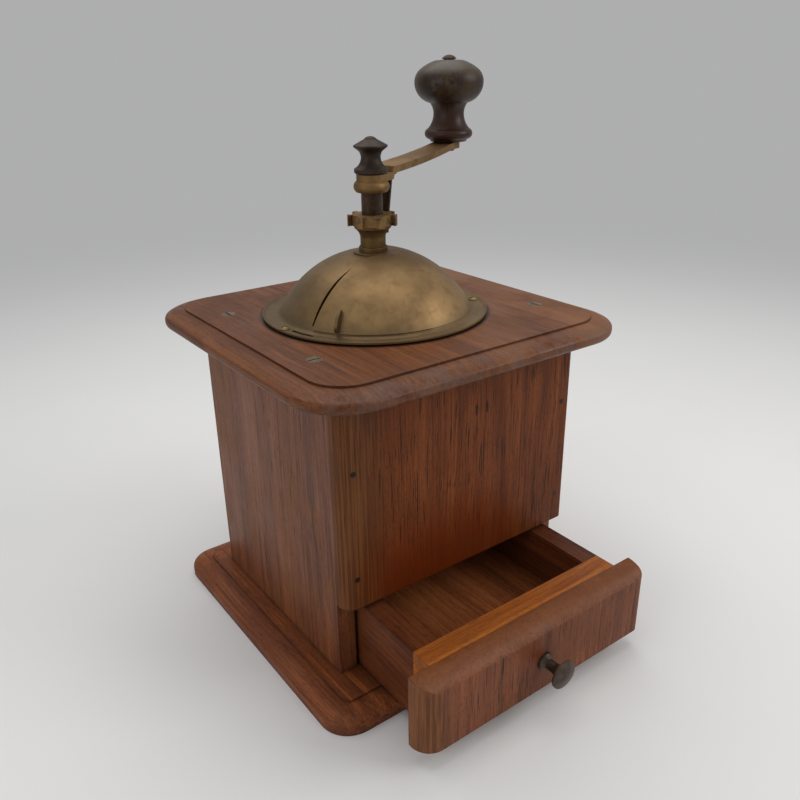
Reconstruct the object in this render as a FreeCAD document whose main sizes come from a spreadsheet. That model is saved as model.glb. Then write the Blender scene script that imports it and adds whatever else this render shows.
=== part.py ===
import FreeCAD, Part
import Sketcher
import math
import os
import re

# Box coffee mill with a domed brass hopper and a hand crank. Millimetres, +Z up.
# The origin is the centre of the base board's underside; the drawer opens towards -Y.

DRIVING_DIMENSIONS = {
    # Boards of the case
    "BaseWide": 154.0, "BaseDeep": 149.0, "BaseThick": 8.2, "BaseCorner": 13.0, "BaseMould": 9.9,
    "LidWide": 152.6, "LidDeep": 151.4, "LidThick": 7.6, "LidCorner": 24.0, "LidMould": 9.0, "LidShift": -0.7,
    "MouldStep": 0.8, "MouldDrop": 3.7, "MouldNose": 1.8, "LidUnderRound": 2.2,
    "CaseWide": 120.0, "CaseTall": 125.8, "WallThick": 8.0, "WallDeep": 98.6,
    "PanelThick": 7.2, "PanelRound": 6.0, "EdgeRound": 2.6, "DrawerMouth": 34.5,
    "LidScrewBack": 36.0, "NailAcross": 54.3, "NailLow": 56.4, "NailHigh": 102.5,
    # Drawer, standing open by DrawerOut
    "DrawerOut": 46.4, "DrawerGap": 0.2, "DrawerLow": 8.5, "DrawerTall": 31.7,
    "FaceThick": 9.6, "FaceBevel": 4.6, "FaceArc": 12.0, "FaceRound": 8.6, "FaceEndRound": 3.6,
    "BoxWide": 101.0, "BoxLong": 97.5, "BoxSide": 8.8, "BoxEnd": 9.4,
    "FloorThick": 4.0, "FloorHigh": 18.0, "FloorTongue": 3.0,
    "HandleHigh": 22.4, "HandleRadius": 6.0, "HandleLong": 10.8, "HandleScrew": 1.3,
    # Mill axis and hopper
    "AxisAcross": -3.5, "AxisBack": 1.1, "LidHole": 31.0, "SheetThick": 0.7,
    "DomeRadius": 46.1, "DomeCentre": 122.8, "CrownHigh": 167.5, "DomeFillet": 2.4,
    "FlangeRadius": 48.0, "RimTurn": 1.3, "RimLift": 0.7, "DomeScrewRing": 44.7,
    "WindowTop": 12.1, "WindowFoot": 39.8, "WindowTopTurn": 227.4, "WindowFootTurn": 196.9,
    "WindowEndTurn": 300.0, "GapTop": 17.1, "GapTopTurn": 211.8, "GapBow": 68.0,
    "SlotRing": 43.6, "SlotWide": 1.4, "SlotStart": 186.5, "SlotEnd": 202.0,
    "ShutterThick": 0.45, "ShutterGap": 0.2, "ShutterHub": 8.4, "ShutterHubTurn": 247.9,
    "ShutterLeadTurn": 197.1, "ShutterTrailTurn": 24.0, "ShutterLow": 143.9,
    "TabTurn": 214.5, "TabThick": 1.2, "TabTall": 7.4, "TabReach": 42.0, "TabTip": 37.4,
    "NeckStem": 4.6, "NeckSeat": 5.2, "NeckFlange": 6.0, "NeckWaist": 5.3, "NeckCup": 7.7,
    "NeckTop": 178.0, "NeckFoot": 2.0, "NeckFootRound": 0.6, "NeckFlare": 4.6, "NeckLip": 0.8,
    "NeckFlareRound": 5.6, "StemLong": 6.0, "LockNutWide": 14.0, "LockNutThick": 3.4, "NeckWasher": 8.5,
    # Shaft, crank and knob
    "ShaftRadius": 3.5, "Running": 0.05, "SleeveRadius": 4.4, "SquareRadius": 3.4, "ThreadRadius": 2.4,
    "NutLow": 178.2, "NutThick": 4.4, "NutRadius": 10.4, "NotchWide": 6.4, "NotchFloor": 8.0,
    "SleeveHigh": 191.6, "CollarTall": 4.2, "CollarRadius": 7.35, "CollarBead": 0.95, "ThreadLong": 7.0,
    "CrankTurn": 25.0, "CrankReach": 72.5, "ArmWide": 12.2, "ArmThick": 2.8, "PadRadius": 5.3,
    "ArmLift": 2.3, "PadLift": 6.3, "ArmCurve": 600.0, "EyeEnd": 7.8, "JoggleEnd": 9.2, "JoggleLean": 0.8,
    "FinialTall": 14.5, "FinialRadius": 6.9,
    "KnobGap": 0.25, "KnobRadius": 16.0, "KnobTall": 35.5, "PinRadius": 2.5, "RivetRadius": 3.3,
    "RivetFoot": 1.3, "RivetBrim": 0.3, "RivetTall": 1.8,
    "TongueWide": 5.8, "TongueThick": 1.2, "TongueGap": 0.3, "TongueFoot": 7.6, "TongueStep": 2.6,
    "TongueBend": 1.0, "TongueDrop": 3.4, "TongueTip": 4.6,
    # Grinding parts
    "HousingLow": 84.0, "HousingRadius": 24.5, "HousingFlange": 36.0, "HousingScrewRing": 33.4,
    "HousingTaper": 6.0, "HousingGap": 0.5, "FunnelWall": 3.5, "FunnelMouth": 29.0,
    "RingLow": 86.0, "RingHigh": 106.0, "RingRadius": 21.5, "RingMouth": 19.0, "RingThroat": 15.1,
    "ConeLow": 84.0, "ConeHigh": 108.0, "ConeFoot": 14.5, "ConeTop": 8.0,
    "ToothDeep": 1.4, "ToothWide": 1.8,
    "BridgeLow": 118.0, "BridgeThick": 3.0, "BridgeRadius": 26.0, "BridgeRim": 3.2,
    "HubRadius": 7.0, "HubRise": 2.0,
    "SpringRadius": 5.2, "SpringWire": 0.5, "SpringPitch": 2.4, "FlangeThick": 2.0,
    "BurrWasher": 6.0, "BurrNutWide": 9.0, "BurrNutThick": 4.0, "WasherThick": 0.6,
    # Fixings
    "WoodScrewHead": 3.0, "WoodScrewShank": 1.3, "WoodScrewLong": 16.0,
    "NailHead": 1.1, "NailShank": 0.7, "NailLong": 18.0,
    "MetalScrewHead": 2.0, "MetalScrewShank": 1.1, "MetalScrewLong": 6.0, "DriverSlot": 0.7,
}

doc = FreeCAD.newDocument("CoffeeMill")
sheet = doc.addObject("Spreadsheet::Sheet", "Dim")
for row, (alias, size) in enumerate(DRIVING_DIMENSIONS.items(), start=1):
    sheet.set(f"A{row}", alias)
    sheet.set(f"B{row}", str(size))
    sheet.setAlias(f"B{row}", alias)
doc.recompute()

sub_parts = []

# Levels and places that several sub-parts share, as formulas in the sheet's names
LID_LOW = "(BaseThick + CaseTall)"
LID_TOP = f"({LID_LOW} + LidThick)"
FACE_BACK = "(-WallDeep / 2 - DrawerGap - DrawerOut)"
FACE_FRONT = f"({FACE_BACK} - FaceThick)"
BOX_BACK = f"({FACE_BACK} + BoxLong)"
DRAWER_TOP = "(DrawerLow + DrawerTall)"
FLOOR_LOW = "(FloorHigh - FloorThick)"
LID_SCREW_ACROSS = "(CaseWide / 2 - WallThick / 2)"
FLANGE_TOP = f"({LID_TOP} + SheetThick)"
INNER_RADIUS = "(DomeRadius - ShutterThick - ShutterGap)"
INNER_CROWN = "(CrownHigh - ShutterThick - ShutterGap)"
NECK_WASHER_LOW = f"({INNER_CROWN} - SheetThick - WasherThick)"
LOCK_NUT_LOW = f"({NECK_WASHER_LOW} - LockNutThick)"
NUT_TOP = "(NutLow + NutThick)"
COLLAR_TOP = "(SleeveHigh + CollarTall)"
EYE_TOP = f"({COLLAR_TOP} + ArmThick)"
PAD_LOW = f"({COLLAR_TOP} + PadLift)"
PAD_TOP = f"({PAD_LOW} + ArmThick)"
KNOB_ACROSS = "(AxisAcross + CrankReach * cos(CrankTurn))"
KNOB_BACK = "(AxisBack + CrankReach * sin(CrankTurn))"
DOME_SCREW_TURNS = (80.0, 181.5, 338.5)
HOUSING_SCREW_TURNS = (30.0, 150.0, 270.0)
CORNERS = ((1, 1), (-1, 1), (-1, -1), (1, -1))
OUTER_TEETH, CONE_TEETH, NUT_NOTCHES, BRIDGE_ARMS = 14, 11, 7, 3
OVERCUT = "1"
ON_AXIS = "on the axis"

# ---------------------------------------------------------------- helpers

def number(formula):
    """Value of a formula in the sheet's names; angles are in degrees."""
    return float(sheet.evalExpression(str(formula)))


def bind(thing, path, formula):
    """Bind a property or constraint of an object to a formula in the sheet's names."""
    thing.setExpression(path, re.sub(r"\b([A-Z]\w*)", r"Dim.\1", str(formula)))


def place(thing, x=0, y=0, z=0):
    for axis, formula in zip("xyz", (x, y, z)):
        if formula != 0:
            bind(thing, f"Placement.Base.{axis}", formula)


def new_body(name, x=0, y=0, z=0):
    body = doc.addObject("PartDesign::Body", name)
    body.Label = name
    place(body, x, y, z)
    sub_parts.append(body)
    return body


def mill_body(name, z=0):
    """A body whose own Z axis is the axis of the mill's shaft."""
    return new_body(name, "AxisAcross", "AxisBack", z)


def origin_feature(body, role):
    return next(item for item in body.Origin.OriginFeatures if item.Role == role)


def new_sketch(body, plane="XY_Plane", offset=0):
    sketch = body.newObject("Sketcher::SketchObject", "Sketch")
    sketch.AttachmentSupport = [(origin_feature(body, plane), "")]
    sketch.MapMode = "FlatFace"
    if offset != 0:
        bind(sketch, "AttachmentOffset.Base.z", offset)
    return sketch


def pin_point(sketch, edge, end, x, y):
    """Fix one end of an edge at a place given by two formulas."""
    for kind, formula in (("DistanceX", x), ("DistanceY", y)):
        index = sketch.addConstraint(Sketcher.Constraint(kind, -1, 1, edge, end, number(formula)))
        bind(sketch, f"Constraints[{index}]", formula)


def arc_between(start, end, radius, side):
    """The short arc from start to end whose centre lies on the left or right of the way."""
    chord = end - start
    rise = math.sqrt(max(radius ** 2 - chord.Length ** 2 / 4, 0))
    across = FreeCAD.Vector(-chord.y, chord.x, 0).normalize()
    centre = (start + end) / 2 + across * (rise if side == "left" else -rise)
    first, last = (start, end) if side == "left" else (end, start)
    angles = [math.atan2(point.y - centre.y, point.x - centre.x) for point in (first, last)]
    return Part.ArcOfCircle(Part.Circle(centre, FreeCAD.Vector(0, 0, 1), radius), *angles)


def axis_radius(start, end):
    """Radius of the circle through two points whose centre lies on the vertical axis."""
    centre = (start.x ** 2 + start.y ** 2 - end.x ** 2 - end.y ** 2) / (2 * (start.y - end.y))
    return math.hypot(end.x, end.y - centre)


def outline(sketch, *corners):
    """Closed outline. A corner is (x, y), reached by a line, or (x, y, radius, side), by an arc.

    The radius may be ON_AXIS: the arc's centre then lies on the sketch's vertical axis.
    """
    places = [FreeCAD.Vector(number(corner[0]), number(corner[1]), 0) for corner in corners]
    ends = []
    for index, corner in enumerate(corners):
        start, end = places[index - 1], places[index]
        if len(corner) == 2:
            edge = sketch.addGeometry(Part.LineSegment(start, end))
            ends.append((edge, 1, 2))
            continue
        radius, side = corner[2:]
        on_axis = radius == ON_AXIS
        size = axis_radius(start, end) if on_axis else number(radius)
        edge = sketch.addGeometry(arc_between(start, end, size, side))
        ends.append((edge, 1, 2) if side == "left" else (edge, 2, 1))
        if on_axis:
            sketch.addConstraint(Sketcher.Constraint("PointOnObject", edge, 3, -2))
        else:
            rule = sketch.addConstraint(Sketcher.Constraint("Radius", edge, size))
            bind(sketch, f"Constraints[{rule}]", radius)
    for index, (edge, _, end) in enumerate(ends):
        following, start, _ = ends[(index + 1) % len(ends)]
        sketch.addConstraint(Sketcher.Constraint("Coincident", edge, end, following, start))
        pin_point(sketch, edge, end, corners[index][0], corners[index][1])


def circle(sketch, radius, x="0", y="0"):
    ring = Part.Circle(FreeCAD.Vector(number(x), number(y), 0), FreeCAD.Vector(0, 0, 1), number(radius))
    edge = sketch.addGeometry(ring)
    index = sketch.addConstraint(Sketcher.Constraint("Radius", edge, number(radius)))
    bind(sketch, f"Constraints[{index}]", radius)
    pin_point(sketch, edge, 3, x, y)


def rectangle(sketch, left, right, low, high):
    outline(sketch, (left, low), (right, low), (right, high), (left, high))


def rounded_rectangle(sketch, half_x, half_y, corner):
    """Starts at the middle of the right side, so that a section standing there can follow it."""
    inner_x = f"({half_x} - {corner})"
    inner_y = f"({half_y} - {corner})"
    outline(
        sketch,
        (half_x, "0"), (half_x, inner_y), (inner_x, half_y, corner, "left"),
        (f"-{inner_x}", half_y), (f"-{half_x}", inner_y, corner, "left"),
        (f"-{half_x}", f"-{inner_y}"), (f"-{inner_x}", f"-{half_y}", corner, "left"),
        (inner_x, f"-{half_y}"), (half_x, f"-{inner_y}", corner, "left"),
    )


def pad(body, sketch, length, side="One side"):
    feature = body.newObject("PartDesign::Pad", "Pad")
    feature.Profile = (sketch, [""])
    feature.SideType = side
    bind(feature, "Length", length)
    doc.recompute()
    return feature


def pocket(body, sketch, length=None, side="One side", upwards=False):
    """Cut a sketch out, downwards from its plane unless told upwards, and check that it cut."""
    before = body.Shape.Volume
    feature = body.newObject("PartDesign::Pocket", "Pocket")
    feature.Profile = (sketch, [""])
    feature.SideType = side
    feature.Reversed = upwards
    if length is None:
        feature.Type = "ThroughAll"
    else:
        bind(feature, "Length", length)
    doc.recompute()
    if body.Shape.Volume >= before - 1e-6:
        raise RuntimeError(f"a pocket of {body.Label} cuts nothing")
    return feature


def around(body, feature, count):
    """Repeat a feature evenly about the body's own Z axis."""
    pattern = body.newObject("PartDesign::PolarPattern", "PolarPattern")
    pattern.Originals = [feature]
    pattern.Axis = (origin_feature(body, "Z_Axis"), [""])
    pattern.Angle = 360
    pattern.Occurrences = count
    body.Tip = pattern
    doc.recompute()
    return pattern


def turned(body, *corners):
    """A turned solid: the outline gives (radius, height) points and turns about Z."""
    sketch = new_sketch(body, "XZ_Plane")
    outline(sketch, *corners)
    feature = body.newObject("PartDesign::Revolution", "Revolution")
    feature.Profile = (sketch, [""])
    feature.ReferenceAxis = (sketch, ["V_Axis"])
    feature.Angle = 360
    doc.recompute()
    return feature


def upright_edges(body, x, y):
    """Names of the body's upright straight edges at (x, y), in the body's own frame."""
    names = []
    for index, edge in enumerate(body.Tip.Shape.Edges, start=1):
        first, last = edge.Vertexes[0].Point, edge.Vertexes[-1].Point
        at_place = abs(first.x - x) < 0.01 and abs(first.y - y) < 0.01
        if at_place and (first - last).Length > 1 and abs(first.z - last.z) > 0.99 * (first - last).Length:
            names.append(f"Edge{index}")
    return names


def round_edges(body, names, radius):
    base = body.Tip
    feature = body.newObject("PartDesign::Fillet", "Fillet")
    feature.Base = (base, names)
    bind(feature, "Radius", radius)
    doc.recompute()
    return feature


def polar(radius, turn):
    """Formulas of a point at a radius and an angle about the mill axis."""
    return f"{radius} * cos({turn})", f"{radius} * sin({turn})"


def holes(body, radius, centres, length=None, plane="XY_Plane", offset=0, upwards=False):
    sketch = new_sketch(body, plane, offset)
    for x, y in centres:
        circle(sketch, radius, x, y)
    pocket(body, sketch, length, upwards=upwards)


def board(name, left, right, front, back, low, high):
    """A plain board between six faces."""
    box = doc.addObject("Part::Box", name)
    for side, first, last in (("Length", left, right), ("Width", front, back), ("Height", low, high)):
        bind(box, side, f"{last} - ({first})")
    place(box, left, front, low)
    return box


def grooved_board(name, planks, groove):
    """A board with a groove for the drawer's floor."""
    cut = doc.addObject("Part::Cut", name)
    cut.Base = board(f"{name}_blank", *planks)
    cut.Tool = board(f"{name}_groove", *groove)
    cut.Label = name
    sub_parts.append(cut)


# ---------------------------------------------------------------- case

def moulding(body, half_wide, half_deep, corner, reach, top):
    """Run the moulding round a board's upper edge: a small step, then a long convex curve."""
    spine = new_sketch(body)
    rounded_rectangle(spine, half_wide, half_deep, corner)
    section = new_sketch(body, "XZ_Plane")
    flat = f"({reach} - MouldNose)"
    curve = f"(({flat}^2 + MouldDrop^2 - MouldNose^2) / (2 * (MouldDrop - MouldNose)))"
    lean = f"({flat} / ({curve} - MouldNose))"
    shoulder = f"({top} - MouldStep)"
    outline(
        section,
        (f"{half_wide} - {reach}", f"{top} + {OVERCUT}"),
        (f"{half_wide} - {reach}", shoulder),
        (f"{half_wide} - {reach} + {curve} * {lean}", f"{shoulder} - {curve} * (1 - sqrt(1 - {lean}^2))",
         curve, "right"),
        (half_wide, f"{shoulder} - MouldDrop", "MouldNose", "right"),
        (f"{half_wide} + {OVERCUT}", f"{shoulder} - MouldDrop"),
        (f"{half_wide} + {OVERCUT}", f"{top} + {OVERCUT}"),
    )
    pipe = body.newObject("PartDesign::SubtractivePipe", "Moulding")
    pipe.Profile = section
    pipe.Spine = (spine, [])
    doc.recompute()


def base_plate():
    body = new_body("base_plate")
    sketch = new_sketch(body)
    rounded_rectangle(sketch, "(BaseWide / 2)", "(BaseDeep / 2)", "BaseCorner")
    pad(body, sketch, "BaseThick")
    moulding(body, "(BaseWide / 2)", "(BaseDeep / 2)", "BaseCorner", "BaseMould", "BaseThick")


def side_wall(name, side):
    """A side board; its front edge takes the front panel's nails and its top the lid's screws."""
    body = new_body(name)
    sketch = new_sketch(body, offset="BaseThick")
    outer, inner = f"{side} * CaseWide / 2", f"{side} * (CaseWide / 2 - WallThick)"
    left, right = (inner, outer) if side > 0 else (outer, inner)
    rectangle(sketch, left, right, "-WallDeep / 2", "WallDeep / 2")
    pad(body, sketch, "CaseTall")
    nails = [(f"{side} * NailAcross", height) for height in ("NailLow", "NailHigh")]
    holes(body, "NailShank", nails, "NailLong - PanelThick", "XZ_Plane", "WallDeep / 2")
    screws = [(f"{side} * {LID_SCREW_ACROSS}", f"{way} * LidScrewBack") for way in (1, -1)]
    holes(body, "WoodScrewShank", screws, "WoodScrewLong - LidThick", offset=LID_LOW)


def panel(name, side, low, left_round):
    """The front (side -1) or back (side 1) board, with its two upright outer edges rounded."""
    body = new_body(name)
    sketch = new_sketch(body, offset=low)
    inner, outer = f"{side} * WallDeep / 2", f"{side} * (WallDeep / 2 + PanelThick)"
    lane = "left" if side > 0 else "right"
    outline(
        sketch,
        ("CaseWide / 2", inner), ("CaseWide / 2", f"{side} * (WallDeep / 2 + PanelThick - EdgeRound)"),
        ("CaseWide / 2 - EdgeRound", outer, "EdgeRound", lane),
        (f"-(CaseWide / 2 - {left_round})", outer),
        ("-CaseWide / 2", f"{side} * (WallDeep / 2 + PanelThick - {left_round})", left_round, lane),
        ("-CaseWide / 2", inner),
    )
    pad(body, sketch, f"{LID_LOW} - ({low})")
    return body


def front_panel():
    body = panel("front_panel", -1, "(BaseThick + DrawerMouth)", "PanelRound")
    nails = [(f"{side} * NailAcross", height) for side in (-1, 1) for height in ("NailLow", "NailHigh")]
    face = "WallDeep / 2 + PanelThick"
    holes(body, "NailShank", nails, "PanelThick", "XZ_Plane", face)
    holes(body, "NailHead", nails, "NailShank", "XZ_Plane", face)


def top_plate():
    body = new_body("top_plate", "LidShift", z=LID_LOW)
    sketch = new_sketch(body)
    rounded_rectangle(sketch, "(LidWide / 2)", "(LidDeep / 2)", "LidCorner")
    pad(body, sketch, "LidThick")
    under = [
        f"Edge{index}" for index, edge in enumerate(body.Tip.Shape.Edges, start=1)
        if edge.BoundBox.ZMax < 0.01
    ]
    round_edges(body, under, "LidUnderRound")
    moulding(body, "(LidWide / 2)", "(LidDeep / 2)", "LidCorner", "LidMould", "LidThick")
    holes(body, "LidHole", [("AxisAcross - LidShift", "AxisBack")], upwards=True)
    screws = [(f"{x} * {LID_SCREW_ACROSS} - LidShift", f"{y} * LidScrewBack") for x, y in CORNERS]
    holes(body, "WoodScrewShank", screws, upwards=True)
    for x, y in screws:
        countersink(body, x, y)
    small = [around_axis(ring, turn) for ring, turn in small_screw_places()]
    small = [(f"{across} - LidShift", back) for across, back in small]
    holes(body, "MetalScrewShank", small, "MetalScrewLong", offset="LidThick")


def countersink(body, x, y):
    sketch = new_sketch(body, "XZ_Plane", f"-({y})")
    outline(
        sketch,
        (x, "LidThick - (WoodScrewHead - WoodScrewShank)"),
        (f"{x} + WoodScrewShank", "LidThick - (WoodScrewHead - WoodScrewShank)"),
        (f"{x} + WoodScrewHead", "LidThick"), (x, "LidThick"),
    )
    groove = body.newObject("PartDesign::Groove", "Countersink")
    groove.Profile = (sketch, [""])
    groove.ReferenceAxis = (sketch, ["Edge1"])
    groove.Angle = 360
    doc.recompute()


def small_screw_places():
    """Ring and angle of each machine screw in the lid."""
    dome = [("DomeScrewRing", turn) for turn in DOME_SCREW_TURNS]
    housing = [("HousingScrewRing", turn) for turn in HOUSING_SCREW_TURNS]
    return dome + housing


def around_axis(ring, turn):
    across, back = polar(ring, turn)
    return f"AxisAcross + {across}", f"AxisBack + {back}"


def slot(body, head, depth, top, turn):
    """A driver slot across a screw's head."""
    sketch = new_sketch(body, offset=top)
    along, across = f"({head} + {OVERCUT})", "(DriverSlot / 2)"
    half_x, half_y = (along, across) if turn else (across, along)
    rectangle(sketch, f"-{half_x}", half_x, f"-{half_y}", half_y)
    pocket(body, sketch, depth)


def top_plate_screws():
    for index, (side_x, side_y) in enumerate(CORNERS, start=1):
        body = new_body(
            f"top_plate_screw_{index}",
            f"{side_x} * {LID_SCREW_ACROSS}", f"{side_y} * LidScrewBack", LID_TOP,
        )
        taper = "(WoodScrewHead - WoodScrewShank)"
        turned(
            body,
            ("0", "-WoodScrewLong"), ("WoodScrewShank", "-WoodScrewLong + WoodScrewShank * 3"),
            ("WoodScrewShank", f"-{taper}"), ("WoodScrewHead", "0"), ("0", "0"),
        )
        slot(body, "WoodScrewHead", "DriverSlot", "0", index % 2)


def machine_screw(name, ring, turn, level):
    """A slotted round-head screw standing on a flange at the given level."""
    x, y = around_axis(ring, turn)
    body = new_body(name, x, y, level)
    end = f"{LID_TOP} - MetalScrewLong - {level}"
    brim, tall = "(MetalScrewHead / 8)", "(MetalScrewHead * 0.6)"
    turned(
        body,
        ("0", end), ("MetalScrewShank", end), ("MetalScrewShank", "0"), ("MetalScrewHead", "0"),
        ("MetalScrewHead", brim), ("0", tall, ON_AXIS, "left"),
    )
    slot(body, "MetalScrewHead", f"{tall} / 2", tall, True)


def front_nails():
    places = [(side, height) for side in (-1, 1) for height in ("NailLow", "NailHigh")]
    for index, (side, height) in enumerate(places, start=1):
        body = new_body(f"front_nail_{index}")
        body.Placement = FreeCAD.Placement(FreeCAD.Vector(), FreeCAD.Rotation(FreeCAD.Vector(1, 0, 0), 90))
        place(body, f"{side} * NailAcross", "-WallDeep / 2 - PanelThick", height)
        turned(
            body,
            ("0", "-NailLong"), ("NailShank", "-NailLong + NailShank * 3"), ("NailShank", "-NailShank"),
            ("NailHead", "-NailShank"), ("NailHead", "0"), ("0", "0"),
        )


# ---------------------------------------------------------------- hopper

def hopper_dome():
    """Spun cap: crown, sphere, fillet, lifted rim, and a window that shows as a bowed gap by the shutter."""
    body = mill_body("hopper_dome")
    rise = f"({FLANGE_TOP} + DomeFillet - DomeCentre)"
    reach = f"sqrt(({INNER_RADIUS} + DomeFillet)^2 - {rise}^2)"
    outer = f"{INNER_RADIUS} / ({INNER_RADIUS} + DomeFillet)"
    inner = f"({INNER_RADIUS} - SheetThick) / ({INNER_RADIUS} + DomeFillet)"
    rim = "(FlangeRadius - RimTurn)"
    turned(
        body,
        ("NeckStem", f"{INNER_CROWN} - SheetThick"),
        (f"sqrt(({INNER_RADIUS} - SheetThick)^2 - ({INNER_CROWN} - SheetThick - DomeCentre)^2)",
         f"{INNER_CROWN} - SheetThick"),
        (f"{reach} * {inner}", f"DomeCentre + {rise} * {inner}", ON_AXIS, "right"),
        (reach, LID_TOP, "DomeFillet + SheetThick", "left"),
        (rim, LID_TOP), ("FlangeRadius", f"{LID_TOP} + RimLift"),
        ("FlangeRadius", f"{FLANGE_TOP} + RimLift"), (rim, FLANGE_TOP), (reach, FLANGE_TOP),
        (f"{reach} * {outer}", f"DomeCentre + {rise} * {outer}", "DomeFillet", "right"),
        (f"sqrt({INNER_RADIUS}^2 - ({INNER_CROWN} - DomeCentre)^2)", INNER_CROWN, ON_AXIS, "left"),
        ("NeckStem", INNER_CROWN),
    )
    window = new_sketch(body)
    outline(
        window,
        polar("WindowTop", "WindowTopTurn"),
        (*polar("WindowTop", "WindowEndTurn"), "WindowTop", "left"),
        polar("WindowFoot", "WindowEndTurn"),
        (*polar("WindowFoot", "WindowFootTurn"), "WindowFoot", "right"),
        (*polar("GapTop", "GapTopTurn"), "GapBow", "right"),
    )
    pocket(body, window, upwards=True)
    inside, outside = "(SlotRing - SlotWide / 2)", "(SlotRing + SlotWide / 2)"
    slit = new_sketch(body)
    outline(
        slit,
        polar(inside, "SlotEnd"), (*polar(inside, "SlotStart"), inside, "right"),
        polar(outside, "SlotStart"), (*polar(outside, "SlotEnd"), outside, "left"),
    )
    pocket(body, slit, upwards=True)
    screws = [polar("DomeScrewRing", turn) for turn in DOME_SCREW_TURNS]
    holes(body, "MetalScrewShank", screws, upwards=True)


def hopper_shutter():
    """Outer shell that turns on the neck's seat; the sector it leaves open is cut away."""
    body = mill_body("hopper_shutter")
    lining = "(DomeRadius - ShutterThick)"
    crown = "(CrownHigh - ShutterThick)"
    turned(
        body,
        ("NeckSeat + Running", crown),
        (f"sqrt({lining}^2 - ({crown} - DomeCentre)^2)", crown),
        (f"sqrt({lining}^2 - (ShutterLow - DomeCentre)^2)", "ShutterLow", ON_AXIS, "right"),
        ("sqrt(DomeRadius^2 - (ShutterLow - DomeCentre)^2)", "ShutterLow"),
        ("sqrt(DomeRadius^2 - (CrownHigh - DomeCentre)^2)", "CrownHigh", ON_AXIS, "left"),
        ("NeckSeat + Running", "CrownHigh"),
    )
    clear = "FlangeRadius"
    hub_middle = "(ShutterHubTurn + ShutterTrailTurn) / 2"
    clear_middle = "(ShutterLeadTurn + ShutterTrailTurn) / 2"
    open_sector = new_sketch(body)
    outline(
        open_sector,
        polar("ShutterHub", "ShutterHubTurn"),
        (*polar("ShutterHub", hub_middle), "ShutterHub", "right"),
        (*polar("ShutterHub", "ShutterTrailTurn"), "ShutterHub", "right"),
        polar(clear, "ShutterTrailTurn"),
        (*polar(clear, clear_middle), clear, "left"),
        (*polar(clear, "ShutterLeadTurn"), clear, "left"),
    )
    pocket(body, open_sector, upwards=True)


def shutter_tab():
    """Upright leaf, radial to the mill axis, standing on the shutter's outer face."""
    body = mill_body("shutter_tab")
    body.Placement = FreeCAD.Placement(FreeCAD.Vector(), FreeCAD.Rotation(FreeCAD.Vector(0, 0, 1), 1))
    place(body, "AxisAcross", "AxisBack")
    bind(body, "Placement.Rotation.Angle", "TabTurn")
    low, high = "(ShutterLow + ShutterThick)", "(ShutterLow + TabTall)"
    sketch = new_sketch(body, "XZ_Plane")
    outline(
        sketch,
        (f"sqrt(DomeRadius^2 - ({low} - DomeCentre)^2)", low, ON_AXIS, "right"),
        ("TabReach", low),
        ("TabReach + TabThick / 3", f"{low} + TabTall / 3", "TabTall / 2", "left"),
        ("TabTip", f"{high} + TabThick", "TabTall * 1.3", "left"),
        (f"sqrt(DomeRadius^2 - ({high} - DomeCentre)^2)", high),
    )
    pad(body, sketch, "TabThick", "Symmetric")


def neck_bearing():
    """Turned neck on the crown: threaded stem, the shutter's seat, flange, waist and a flared cup."""
    body = mill_body("neck_bearing")
    bore = "(ShaftRadius + Running)"
    flange_low = "(CrownHigh + 2 * Running)"
    flange_top = f"({flange_low} + NeckFoot)"
    turned(
        body,
        (bore, f"{INNER_CROWN} - StemLong"), ("NeckStem", f"{INNER_CROWN} - StemLong"),
        ("NeckStem", INNER_CROWN), ("NeckSeat", INNER_CROWN), ("NeckSeat", flange_low),
        ("NeckFlange", flange_low), ("NeckFlange", f"{flange_top} - NeckFootRound"),
        ("NeckFlange - NeckFootRound", flange_top, "NeckFootRound", "left"), ("NeckWaist", flange_top),
        ("NeckWaist", "NeckTop - NeckFlare"), ("NeckCup", "NeckTop - NeckLip", "NeckFlareRound", "right"),
        ("NeckCup", "NeckTop"), (bore, "NeckTop"),
    )


def hexagon(sketch, across_flats):
    reach = f"({across_flats} / sqrt(3))"
    outline(sketch, *[polar(reach, 60 * corner) for corner in range(6)])


def hex_nut(name, across_flats, bore, low, thick):
    body = mill_body(name)
    sketch = new_sketch(body, offset=low)
    hexagon(sketch, across_flats)
    circle(sketch, bore)
    pad(body, sketch, thick)


def washer(name, radius, bore, low, thick):
    body = mill_body(name)
    sketch = new_sketch(body, offset=low)
    circle(sketch, radius)
    circle(sketch, bore)
    pad(body, sketch, thick)


# ---------------------------------------------------------------- grinding parts

def burr_housing():
    """Cast funnel hung by its flange in the lid's hole; its lower end holds the outer burr."""
    body = mill_body("burr_housing")
    flange_top = f"({LID_TOP} + FlangeThick)"
    turned(
        body,
        ("RingRadius", "HousingLow"), ("HousingRadius", "HousingLow"),
        ("HousingRadius", "RingHigh + HousingTaper"), ("LidHole - HousingGap", f"{LID_LOW} - HousingTaper"),
        ("LidHole - HousingGap", LID_TOP), ("HousingFlange", LID_TOP), ("HousingFlange", flange_top),
        ("LidHole - 2 * HousingGap", flange_top), ("FunnelMouth", f"{LID_LOW} + FlangeThick"),
        ("BridgeRadius", "BridgeLow + HousingTaper"), ("BridgeRadius", "BridgeLow"),
        ("BridgeRadius - FunnelWall", "BridgeLow"), ("RingMouth", "RingHigh"), ("RingRadius", "RingHigh"),
    )
    screws = [polar("HousingScrewRing", turn) for turn in HOUSING_SCREW_TURNS]
    holes(body, "MetalScrewShank", screws, upwards=True)


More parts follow.
